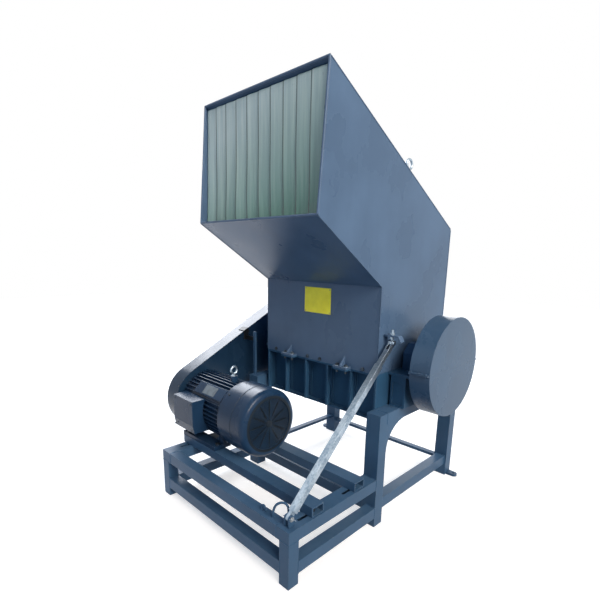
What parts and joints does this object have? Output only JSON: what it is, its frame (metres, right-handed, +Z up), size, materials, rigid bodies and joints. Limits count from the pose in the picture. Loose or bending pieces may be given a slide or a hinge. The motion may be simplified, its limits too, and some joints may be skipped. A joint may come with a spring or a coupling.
{
  "type": "plastic granulator",
  "caption": "Floor-standing plastic granulator with a tall tilting feed hopper, strip curtain, belt-driven rotor, flywheel cover, jack strut and motor frame.",
  "frame": {"origin": "middle of the machine's footprint, on the floor", "axes": "+Z up, +X to the flywheel side, -Y to the front with the motor and the feed mouth"},
  "size_m": [1.504, 1.58, 2.261],
  "materials": {
    "stand_paint": "semi-gloss enamel on welded tube",
    "chamber_paint": "semi-gloss enamel on thick plate",
    "housing_iron": "enamel on cast iron",
    "bearing_steel": "ground",
    "cover_paint": "semi-gloss enamel on sheet",
    "guard_paint": "semi-gloss enamel on sheet",
    "strap_paint": "black enamel",
    "knife_steel": "ground",
    "machined_steel": "turned",
    "rotor_steel": "dark",
    "bolt_steel": "blackened",
    "belt_rubber": "matte",
    "pulley_iron": "turned",
    "motor_paint": "semi-gloss enamel on cast iron",
    "winding": "varnished",
    "nameplate": "satin",
    "zinc_steel": "zinc plated",
    "fan_plastic": "moulded",
    "hopper_paint": "semi-gloss enamel on sheet",
    "label_yellow": "printed film, left bare",
    "curtain_vinyl": "clear green flexible strips"
  },
  "bodies": {
    "stand": {"stand_legs": "stand_paint", "stand_side_beams": "stand_paint", "lower_rails": "stand_paint", "anchor_lugs": "stand_paint", "motor_frame_legs": "stand_paint", "motor_side_members": "stand_paint", "motor_front_rail": "stand_paint", "chamber_body": "chamber_paint", "chamber_ribs": "chamber_paint", "chamber_lugs": "chamber_paint", "bearing_shelves": "chamber_paint", "bearing_pedestals": "chamber_paint", "bearing_housings": "housing_iron", "bearings": "bearing_steel", "flywheel_cover_upper": "cover_paint", "flywheel_cover_lower": "cover_paint", "belt_guard_shell": "guard_paint", "belt_guard_back": "guard_paint", "guard_post": "stand_paint", "guard_strap": "strap_paint", "fixed_knives": "knife_steel", "knife_clamps": "rotor_steel", "knife_bolts": "bolt_steel", "v_belts": "belt_rubber", "strut_base_clevis": "stand_paint", "strut_base_pin": "machined_steel", "hopper_hinge_lugs": "chamber_paint", "cradle_hinge_rod": "machined_steel"},
    "rotor": {"rotor_shaft": "machined_steel", "rotor_core": "rotor_steel", "rotor_knives": "knife_steel", "rotor_knife_bolts": "bolt_steel", "rotor_pulley": "pulley_iron", "flywheel": "pulley_iron"},
    "motor_carriage": {"motor_rails": "stand_paint", "rail_bolts": "bolt_steel", "motor_body": "motor_paint", "motor_end_shields": "motor_paint", "motor_stator": "winding", "fan_cowl": "motor_paint", "terminal_box": "motor_paint", "motor_nameplate": "nameplate", "motor_eye_bolt": "zinc_steel", "foot_bolts": "bolt_steel"},
    "motor_rotor": {"motor_shaft": "machined_steel", "motor_rotor_core": "rotor_steel", "motor_pulley": "pulley_iron", "cooling_fan": "fan_plastic"},
    "hopper": {"hopper_shell": "hopper_paint", "lifting_eyes": "zinc_steel", "label_plate": "label_yellow", "hopper_brackets": "hopper_paint", "hopper_bolts": "bolt_steel", "curtain_bar": "bolt_steel", "strut_eye_bolt": "zinc_steel"},
    "curtain": {"curtain_strips": "curtain_vinyl"},
    "strut_lower": {"strut_outer_tube": "zinc_steel"},
    "strut_upper": {"strut_inner_tube": "zinc_steel"},
    "screen_cradle": {"screen": "machined_steel", "screen_cradle": "chamber_paint"}
  },
  "joints": [
    {"name": "rotor_spin", "type": "hinge", "parent": "stand", "child": "rotor", "pos_m": [0.032, 0.297, 0.89], "axis": [1, 0, 0], "continuous": true},
    {"name": "motor_slide", "type": "slide", "parent": "stand", "child": "motor_carriage", "axis": [0, 1, 0], "range_m": [0, 0.04], "deforming": ["v_belts"]},
    {"name": "motor_spin", "type": "hinge", "parent": "motor_carriage", "child": "motor_rotor", "pos_m": [0.032, -0.43498, 0.5413], "axis": [1, 0, 0], "continuous": true},
    {"name": "hopper_tilt", "type": "hinge", "parent": "stand", "child": "hopper", "pos_m": [0.032, 0.702, 0.854], "axis": [-1, 0, 0], "range_deg": [0, 35]},
    {"name": "strut_swing", "type": "hinge", "parent": "stand", "child": "strut_lower", "pos_m": [0.526, -0.748, 0.33], "axis": [1, 0, 0], "range_deg": [0, 6]},
    {"name": "strut_extend", "type": "slide", "parent": "strut_lower", "child": "strut_upper", "axis": [0, 0.7301, 0.6834], "range_m": [0, 0.43]},
    {"name": "curtain_swing", "type": "hinge", "parent": "hopper", "child": "curtain", "pos_m": [0.032, -0.491, 2.22981], "axis": [1, 0, 0], "range_deg": [0, 50]},
    {"name": "cradle_swing", "type": "hinge", "parent": "stand", "child": "screen_cradle", "pos_m": [0.032, 0.5554, 0.75834], "axis": [1, 0, 0], "range_deg": [0, 40]}
  ],
  "couplings": [
    {"joint": "motor_spin", "follows": "rotor_spin", "ratio": 2.3333},
    {"joint": "strut_swing", "follows": "hopper_tilt", "ratio": 0.12801},
    {"joint": "strut_extend", "follows": "hopper_tilt", "m_per_rad": 0.69372}
  ]
}
